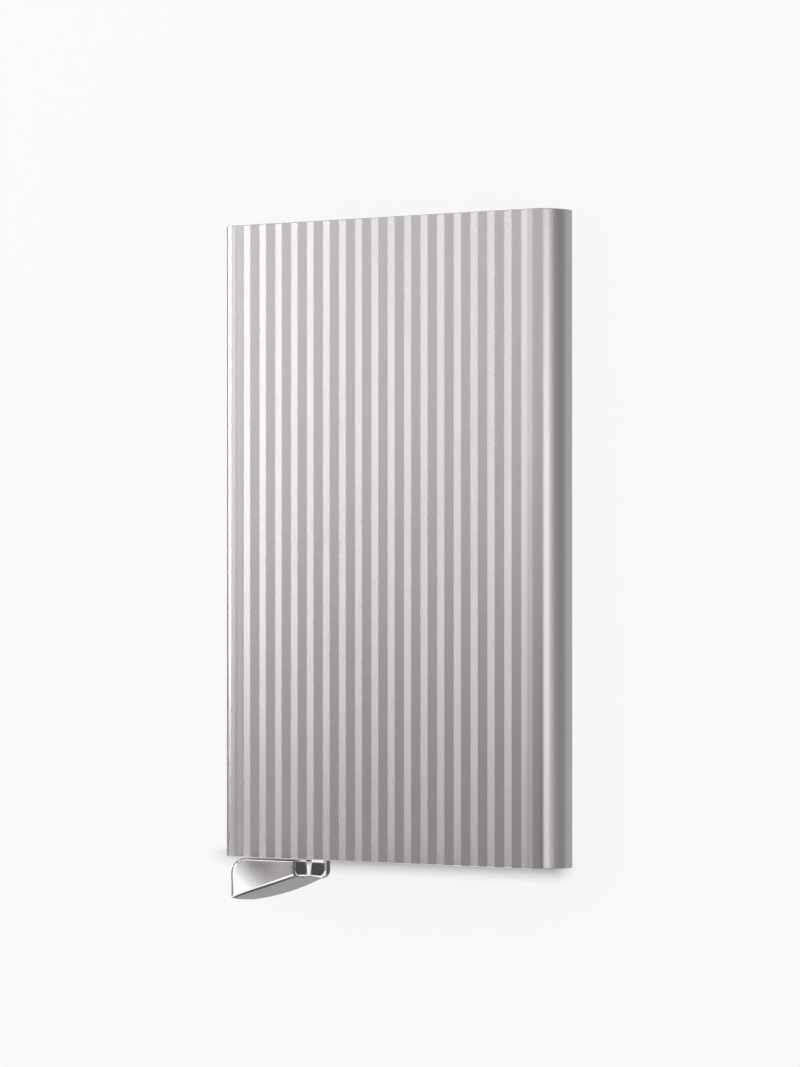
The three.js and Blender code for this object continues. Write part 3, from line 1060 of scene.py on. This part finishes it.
    def blade_outline(self) -> Array:
        """The blade's outline round its neck, hub and arm, counter-clockwise.

        The neck's left side runs into the tab, and its lower right corner and the arm's nose are round.
        """
        px, py = self.pivot
        hub_arm = math.asin(self.arm_half / self.hub)
        hub_neck = math.acos(self.neck_half / self.hub)
        over = np.linspace(hub_arm, math.pi + hub_neck, 30)
        arc = np.stack([self.hub * np.cos(over), self.hub * np.sin(over)], axis=1)
        low = self.neck_bottom - py
        root = -self.neck_half - self.neck_root
        neck = np.array(
            [
                [-self.neck_half, self.top - py - 0.05],
                [root, self.top - py - 0.3],
                [root, self.end_bottom - py - 0.1],
            ]
        )
        foot = np.linspace(-math.pi / 2, 0.0, 9)
        foot_x = self.neck_half - self.neck_corner + self.neck_corner * np.cos(foot)
        toe = np.stack([foot_x, low + self.neck_corner * (1 + np.sin(foot))], axis=1)
        rest = np.linspace(-hub_neck, -hub_arm, 4)
        under = np.stack([self.hub * np.cos(rest), self.hub * np.sin(rest)], axis=1)
        turn = np.linspace(-math.pi / 2, 0.0, 6)
        nose_x, nose_y = self.arm_length - self.arm_nose, self.arm_nose - self.arm_half
        nose = np.stack([np.cos(turn), np.sin(turn)], axis=1) * self.arm_nose + [nose_x, nose_y]
        nose_top = (nose * [1.0, -1.0])[::-1]
        outline = np.concatenate([arc, neck, toe, under, nose, nose_top])
        return outline + np.array([px, py])

    def blade_grid(self) -> Array:
        """The blade as rings through its thickness.

        Its edges are rounded as `edge_rounding` says: fully where the outline faces down, by about two
        thirds where it faces right, and by a quarter elsewhere.
        """
        height, inset = edge_rounding(self.blade_edge, 5)
        z = np.concatenate([self.blade_back + height, (self.blade_front - height)[::-1]])
        drawn = np.concatenate([inset, inset[::-1]])
        outline = self.blade_outline()
        normal = outward(outline)
        down, right = np.clip(-normal[:, 1], 0.0, 1.0), np.clip(normal[:, 0], 0.0, 1.0)
        least, below, beside = self.blade_rounding
        share = np.clip(least + below * down + beside * right, 0.0, 1.0)
        return carried(outline[None] - (normal * share[:, None])[None] * drawn[:, None, None], z, 2)

    def fillet_grid(self) -> Array:
        """The hollow fillet in the corner between the tab's right end and the blade's front face.

        Its section is the corner's two legs and the shallow curve (1-s)^2 A + 2 s (1-s) C + s^2 B between
        their ends A and B, with C nearer the corner. It shrinks on its way down the corner.
        """
        s = np.linspace(0.0, 1.0, 7)[:, None]
        ends, sunk = np.array(self.fillet_curve), -self.fillet_sunk
        hollow = (1 - s) ** 2 * ends[0] + 2 * s * (1 - s) * ends[1] + s**2 * ends[2]
        section = np.concatenate([hollow, [[sunk, ends[2, 1]], [sunk, sunk], [ends[0, 0], sunk]]])
        share = np.linspace(0.0, 1.0, 8)
        size = self.fillet * (1 - self.fillet_taper * share)
        y = self.top - 0.1 + (self.end_bottom - self.top + 0.2) * share
        corner = np.array([self.right, self.blade_front])
        return carried(corner + section[None] * size[:, None, None], y, 1)

    def shoulder_grid(self) -> Array:
        """The low shoulder along the top of the blade's front: a wedge carried across the neck."""
        (rise, run), (over, sunk) = self.shoulder, self.shoulder_sunk
        section = np.array([[-run, 0.0], [0.0, rise], [over, rise], [over, -sunk], [-run, -sunk]])
        x = np.array([self.right - 0.3, self.pivot[0] + self.neck_half - 0.25])
        flat = section + np.array([self.top + 0.15, self.blade_front])
        return carried(np.stack([flat, flat]), x, 0)

    def bore_grid(self) -> Array:
        """A round bar through the hub, for cutting the pin's bore."""
        ring = self.pivot + self.bore * circle()
        return carried(np.stack([ring, ring]), np.array([self.blade_back - 1, self.blade_front + 1]), 2)

    def build(self, finish: Material) -> None:
        """Makes the casting as one closed surface: tab, blade, fillet and shoulder joined, the bore cut."""

        def form(name: str, grid: Array) -> Piece:
            """One capped form of the casting."""
            draft = Draft()
            draft.shell(grid, capped=True)
            return add_piece(name, draft.mesh(name), finish)

        casting = form("tab", self.tab_grid())
        for name, grid, operation in (
            ("blade", self.blade_grid(), "UNION"),
            ("fillet", self.fillet_grid(), "UNION"),
            ("shoulder", self.shoulder_grid(), "UNION"),
            ("bore", self.bore_grid(), "DIFFERENCE"),
        ):
            cut = casting.modifiers.new(name, "BOOLEAN")
            cut.object = form(name, grid)
            cut.operation = operation
            cut.solver = "EXACT"
            baked(casting)
            bpy.data.objects.remove(bpy.data.objects[name])
        casting.name = "lever_casting"
        casting.data.polygons.foreach_set("use_smooth", np.ones(len(casting.data.polygons), bool))
        casting.data.set_sharp_from_angle(angle=math.radians(SMOOTH_CASTING_DEGREES))
        weigh_normals(casting)
        finished(casting, Body.LEVER, Slot.LEVER, "finger_lever")


@dataclass(frozen=True)
class StepPusher:
    """The moulded fan on the lever's arm, a step for each card, with its edges eased."""

    edge: float = 0.12

    def build(self, finish: Material) -> None:
        """Makes the fan."""
        fan = eased_copy("step_pusher", "stepped_fan", self.edge, finish)
        finished(fan, Body.LEVER, Slot.GREY, "step_pusher")


# The studio


@dataclass(frozen=True)
class Panel:
    """A soft panel of light that stands beside the case, at an angle about the case's long axis."""

    name: str
    angle: float
    distance: float
    half_angle: float
    low: float
    high: float
    radiance: float

    def build(self) -> None:
        """Adds the lamp: a radiance L over an area S takes pi L S watts."""
        middle = (self.low + self.high) / 2
        turn = math.radians(self.angle)
        place = Vector((self.distance * math.sin(turn), middle, self.distance * math.cos(turn))) * MM
        lamp = bpy.data.lights.new(self.name, "AREA")
        lamp.shape = "RECTANGLE"
        lamp.size = 2 * self.distance * math.tan(math.radians(self.half_angle)) * MM
        lamp.size_y = (self.high - self.low) * MM
        lamp.energy = math.pi * self.radiance * lamp.size * lamp.size_y
        back = Vector((place.x, 0.0, place.z)).normalized()
        up = Vector((0.0, 1.0, 0.0))
        across = up.cross(back)
        matrix = Matrix((across, up, back)).transposed().to_4x4()
        matrix.translation = place
        holder = bpy.data.objects.new(self.name, lamp)
        holder.matrix_world = matrix
        bpy.context.scene.collection.objects.link(holder)


def facing(angle: float) -> tuple[Array, Array]:
    """Directions beside the case's long axis.

    Args:
        angle: an angle about that axis, in degrees, from the way that the front faces.

    Returns:
        The direction at the angle, and the one to its right.
    """
    turn = math.radians(angle)
    return np.array([math.sin(turn), 0.0, math.cos(turn)]), np.array([math.cos(turn), 0.0, -math.sin(turn)])


def four_sided(name: str, points: Array) -> Mesh:
    """A mesh of one face with four corners, given in metres."""
    mesh = bpy.data.meshes.new(name)
    mesh.from_pydata(points.tolist(), [], [(0, 1, 2, 3)])
    return mesh


def flat_corners(left: float, right: float, low: float, high: float, height: float) -> Array:
    """The corners of an upright rectangle's plan that lies at a height over the floor."""
    return np.array([[left, low, height], [right, low, height], [right, high, height], [left, high, height]])


@dataclass(frozen=True)
class PaleFloor:
    """White paper: most of what the camera and the metal see of it is its own even white.

    Under the case's end a shadow is painted into that white, as grey, standing for less of the light from
    above reaching it there. At the way w out of that painted shadow the grey's share is (1 - w)^fall, where
    w is the length of two parts: the way down from the end or up from it over the patch's reach, and the way
    out over either side.
    """

    white: float = 0.88
    mottle: float = 0.02
    glow_share: float = 0.88
    reach: float = 2.85
    rise: float = 1.7
    left: float = -31.0
    left_run: float = 11.0
    right: float = 26.0
    right_run: float = 5.0
    fall: float = 1.65
    # the painted shadow's darkest grey
    shade: float = 0.23

    def material(self) -> Material:
        """Makes the material."""
        g = Graph("white_floor")
        paper = g.noise((40.0, 40.0, 40.0), 2.0)
        tone = g.tinted(paper, (self.white,) * 3, (self.white + self.mottle,) * 3)
        plain = g.node("ShaderNodeBsdfDiffuse", {}, {"Color": tone})
        # painted shadow under the case's end, worked out from the place on the floor
        x, y = g.millimetres("X", "Y")
        below = CASE_END - y
        away = x.math("MAXIMUM", below, below * -self.rise) * (1.0 / self.reach)
        left, right = (self.left - x) * (1.0 / self.left_run), (x - self.right) * (1.0 / self.right_run)
        aside = x.math("MAXIMUM", x.math("MAXIMUM", left, right), 0.0)
        way = x.math("SQRT", away * away + aside * aside)
        grey = (1.0 - way).clipped() ** self.fall
        glow = g.node("ShaderNodeEmission", {}, {"Color": g.tinted(grey, WHITE, (self.shade,) * 3)})
        path = g.node("ShaderNodeLightPath")
        camera, glossy, through = (
            Wire(g, path.outputs[f"Is {kind} Ray"]) for kind in ("Camera", "Glossy", "Transmission")
        )
        seen = (camera + glossy + through).clipped()
        inputs = {0: seen * self.glow_share, 1: plain.outputs[0], 2: glow.outputs[0]}
        return g.ended("ShaderNodeMixShader", inputs)


@dataclass(frozen=True)
class TabLight:
    """The light that the tab's front mirrors, a card that fades from grey to white.

    At the share t of the way across, from right to left, and d of the way down, the white's share is
    (t + slant (d - level))^power, so that the fade runs askew. A darker hollow lies at its top.
    """

    start: float = -12.0
    run: float = 13.0
    top: float = 1.7
    drop: float = 4.2
    slant: float = 0.48
    level: float = 0.35
    power: float = 1.9
    least: float = 0.15
    hollow: float = 0.15
    hollow_drop: float = 0.6
    hollow_in: tuple = (-0.1, 0.12)
    hollow_out: tuple = (0.3, 0.6)
    grey: float = 0.29
    tint: tuple = (1.03, 0.965, 1.015)
    white: float = 1.12

    def material(self, across: Array) -> Material:
        """Makes the material.

        Args:
            across: the direction in which the card runs to the right.

        Returns:
            The material.
        """
        g = Graph("fading_card_light")
        along = g.node("ShaderNodeVectorMath", {"operation": "DOT_PRODUCT"}, {0: g.place, 1: tuple(across)})
        left = (self.start * MM - Wire(g, along.outputs["Value"])) * (1.0 / (self.run * MM))
        (y,) = g.millimetres("Y")
        down = (CASE_END - self.top - y) * (1.0 / self.drop)
        pale = (left + (down - self.level) * self.slant).clipped() ** self.power
        hollow = (1.0 - down * (1.0 / self.hollow_drop)).clipped() * left.between(*self.hollow_in)
        hollow = hollow * (1.0 - left.between(*self.hollow_out))
        share = self.least + (1.0 - self.least) * pale - self.hollow * hollow
        grey = tuple(value * self.grey / self.white for value in self.tint)
        return g.light(g.tinted(share.clipped(), grey, WHITE), self.white)


@dataclass(frozen=True)
class Studio:
    """A pale floor, soft panels, cards that only the metal sees, a dim surround and the camera."""

    surround: float = 0.266
    floor_half: float = 3000.0
    floor_height: float = -0.02
    card_height: float = 0.05
    screen_distance: float = 390.0
    screen_across: tuple = (-70.0, 70.0)
    screen_up: tuple = (-95.0, 10.0)
    screen_shade: float = 0.075
    card_distance: float = 20.0
    tab_place: tuple = (-20.0, 0.0, 7.5)
    tab_edge: float = -9.0
    fill_angle: float = 65.0
    outline_place: float = -50.0
    outline_along: tuple = (-12.0, -0.5)
    outline_up: tuple = (0.1, 8.4)
    outline_shade: float = 0.3
    flag_place: float = -33.0
    flag_along: tuple = (-0.5, 100.0)
    flag_foot: float = 6.5
    flag_tops: tuple = (9.1, 8.55)
    flag_shade: float = 0.45
    turn: float = 39.5
    lift: float = 0.66
    camera_place: tuple = (500.5, 39.5, 610.3)
    focal: float = 5311.0
    picture_height: float = 1067.0
    sensor: float = 36.0
    # the cards at the right of the case and under the tab are painted shade: their greys stand for the
    # floor's shade there as the metal mirrors it; the cards at the left darken the left outlines
    floor_cards: ClassVar[tuple[tuple[str, float, float, float, float, float], ...]] = (
        ("near_card", 29.7, 34.2, -50.0, 150.0, 0.55),
        ("middle_card", 34.2, 45.0, -50.0, 150.0, 0.33),
        ("far_card", 45.0, 90.0, -50.0, 150.0, 0.4),
        ("left_card", -220.0, -29.7, 14.0, 150.0, 0.16),
        ("lower_card", -34.0, -19.5, -10.8, 14.0, 0.35),
        ("under_card", -46.0, -12.0, -30.0, -10.8, 0.1),
        ("outer_card", -50.0, -34.0, -10.8, 0.5, 0.3),
        ("corner_card", -220.0, -34.0, 0.5, 14.0, 0.2),
        ("end_card", -19.5, -13.0, -10.8, 0.5, 0.36),
        ("inner_card", -13.0, -4.0, -9.0, 0.5, 0.1),
    )
    panels: ClassVar[tuple[Panel, ...]] = (
        Panel("low_left_panel", -76.0, 420.0, 7.7, -36.0, 205.0, 5.95),
        Panel("upper_left_panel", -28.1, 420.0, 2.9, -98.0, 264.0, 0.884),
        Panel("left_ceiling", -33.0, 420.0, 23.8, -3.0, 732.0, 0.473),
        Panel("middle_ceiling", 14.6, 420.0, 23.8, -3.0, 732.0, 0.473),
        Panel("right_ceiling", 62.2, 420.0, 23.8, -3.0, 732.0, 0.473),
        Panel("right_panel", 67.7, 420.0, 16.4, -93.0, 71.0, 1.0),
        Panel("shoulder_panel", -62.0, 420.0, 6.0, -110.0, -38.0, 0.3),
        Panel("end_ceiling", 0.0, 420.0, 70.0, -2400.0, -380.0, 0.42),
        Panel("margin_panel", -49.0, 420.0, 6.0, -60.0, 264.0, 0.8),
    )

    def card(self, name: str, corners: Array, light: float | Material) -> Piece:
        """A flat card that only the metal sees, as photographers stand beside bright objects.

        Args:
            name: the card's name.
            corners: its four corners.
            light: how bright it looks, or its material.

        Returns:
            The card.
        """
        if not isinstance(light, Material):
            light = Graph(name).light((*WHITE, 1.0), light)
        card = add_piece(name, four_sided(name, placed(corners)), light)
        card.visible_camera = False
        card.visible_shadow = False
        card.visible_diffuse = False
        return card

    def upright_card(self, name: str, place: tuple, span: tuple, light: float | Material) -> None:
        """A card that stands square to a direction beside the case.

        Args:
            name: the card's name.
            place: the direction's angle, as `facing` takes it, and how far off the card is.
            span: where the card starts and ends across that direction, from the case's axis, and where
                it starts and ends along the case.
            light: how bright it looks, or its material.
        """
        angle, away = place
        line, side = facing(angle)
        start, end = (line * away + across * side for across in span[:2])
        low, high = (np.array([0.0, up, 0.0]) for up in span[2:])
        self.card(name, np.array([start + low, end + low, end + high, start + high]), light)

    def side_card(self, name: str, x: float, along: tuple, foot: float, tops: tuple, shade: float) -> Piece:
        """A card that stands on edge beside the case, square to its width.

        Args:
            name: the card's name.
            x: where it stands.
            along: where it starts and ends along the case.
            foot: its lower edge's height.
            tops: its upper edge's height where it starts and where it ends.
            shade: how bright it looks.

        Returns:
            The card.
        """
        (low, high), (low_top, high_top) = along, tops
        corners = [[x, low, foot], [x, high, foot], [x, high, high_top], [x, low, low_top]]
        return self.card(name, np.array(corners), shade)

    def lever_cards(self) -> None:
        """The cards that the polished lever sees.

        The tab's front mirrors the fading one, because the front's mirror direction is as far to the
        left as the camera is to the right. A dark card beside it is for the neck, and white ones and
        dark ones below and at the right are for the edges, the fillet and the gap between them.
        """
        mirrored, fill = -self.turn, self.fill_angle
        fading = TabLight().material(facing(mirrored)[1])
        for name, angle, start, end, low, high, light in (
            ("fading_card", mirrored, -46.0, self.tab_edge, -11.0, -0.7, fading),
            ("neck_card", mirrored, self.tab_edge, 3.0, -11.0, -1.4, self.screen_shade),
            ("rim_card", mirrored, -46.0, 8.0, -120.0, -11.2, 1.1),
            ("fill_card", fill, -28.0, 8.0, -40.0, -17.5, 1.2),
            ("shoulder_card", fill, -28.0, -15.3, -17.5, -6.0, 1.2),
            ("gap_card", fill, -15.3, -12.9, -17.5, -10.5, 0.1),
            ("fillet_card", fill, -12.9, 8.0, -17.5, -6.0, 1.2),
        ):
            away = facing(angle)[0] @ np.array(self.tab_place) + self.card_distance
            self.upright_card(name, (angle, away), (start, end, low, high), light)

    def case_cards(self) -> None:
        """The cards on the floor that the case's edges see, some of them grey as painted shade for the floor
        beside the case and under the tab, and the dark screen behind the camera.
        """
        for name, left, right, low, high, shade in self.floor_cards:
            self.card(name, flat_corners(left, right, low, high, self.card_height), shade)
        place, span = (self.turn, self.screen_distance), (*self.screen_across, *self.screen_up)
        self.upright_card("dark_screen", place, span, self.screen_shade)

    def left_cards(self) -> None:
        """A card for the outline of the lever's left side, and a low flag beside the case.

        The flag keeps the low left panel off the case's left shoulder. Its top slopes, so that it hides
        more of the panel from the shoulder towards the lower end.
        """
        foot, top = self.outline_up
        place, along = self.outline_place, self.outline_along
        self.side_card("outline_card", place, along, foot, (top, top), self.outline_shade)
        place, along = self.flag_place, self.flag_along
        flag = self.side_card("side_flag", place, along, self.flag_foot, self.flag_tops, self.flag_shade)
        flag.visible_shadow = True

    def build(self) -> None:
        """Sets the floor, the cards, the panels, the surround and the camera."""
        h = self.floor_half
        corners = flat_corners(-h, h, -h, h, self.floor_height) * MM
        add_piece("floor", four_sided("floor", corners), PaleFloor().material())
        self.case_cards()
        self.lever_cards()
        self.left_cards()
        for panel in self.panels:
            panel.build()
        world = bpy.data.worlds.new("surround")
        world.use_nodes = True
        background = world.node_tree.nodes["Background"]
        background.inputs["Color"].default_value = (*WHITE, 1.0)
        background.inputs["Strength"].default_value = self.surround
        bpy.context.scene.world = world
        self.camera()

    def camera(self) -> None:
        """Stands the camera where the photograph was taken.

        It looks along (-sin t cos p, sin p, -cos t cos p) for the turn t and the lift p, and its focal
        length is the fitted one in pixels times the sensor over the picture's height.
        """
        t, p = math.radians(self.turn), math.radians(self.lift)
        look = Vector((-math.sin(t) * math.cos(p), math.sin(p), -math.cos(t) * math.cos(p)))
        up = Vector((math.sin(t) * math.sin(p), math.cos(p), math.cos(t) * math.sin(p)))
        right = Vector((math.cos(t), 0.0, -math.sin(t)))
        lens = bpy.data.cameras.new("camera")
        lens.sensor_width = self.sensor
        lens.lens = self.focal * self.sensor / self.picture_height
        lens.clip_start = 0.01
        lens.clip_end = 20.0
        camera = bpy.data.objects.new("camera", lens)
        matrix = Matrix((right, up, -look)).transposed().to_4x4()
        matrix.translation = Vector(self.camera_place) * MM + Vector((0.0, CASE_END * MM, 0.0))
        camera.matrix_world = matrix
        bpy.context.scene.collection.objects.link(camera)
        bpy.context.scene.camera = camera


def main() -> None:
    """Builds the holder piece by piece, then the studio."""
    logging.basicConfig(level=logging.INFO, format="%(message)s")
    moulding = Moulding("black_moulding", (0.03, 0.03, 0.032), 0.5, 6e-6).material()
    grey = Moulding("grey_moulding", (0.09, 0.09, 0.095), 0.42, 4e-6).material()
    steel = TurnedSteel().material()
    pile = Pile().material()
    steps: list[tuple[str, Callable[[], None]]] = [
        ("case tube", lambda: CaseTube().build(SatinAluminium().material())),
        ("right side rail", lambda: SideRail().build("right", 1.0, moulding, pile)),
        ("left side rail", lambda: SideRail().build("left", -1.0, moulding, pile)),
        ("carrier", lambda: Carrier().build(moulding, steel)),
        ("finger lever", lambda: FingerLever().build(PolishedCasting().material())),
        ("step pusher", lambda: StepPusher().build(grey)),
        ("studio", lambda: Studio().build()),
    ]
    for name, step in steps:
        step()
        log.info("made %s", name)
    bpy.context.scene.view_settings.view_transform = "Standard"


if __name__ == "__main__":
    main()
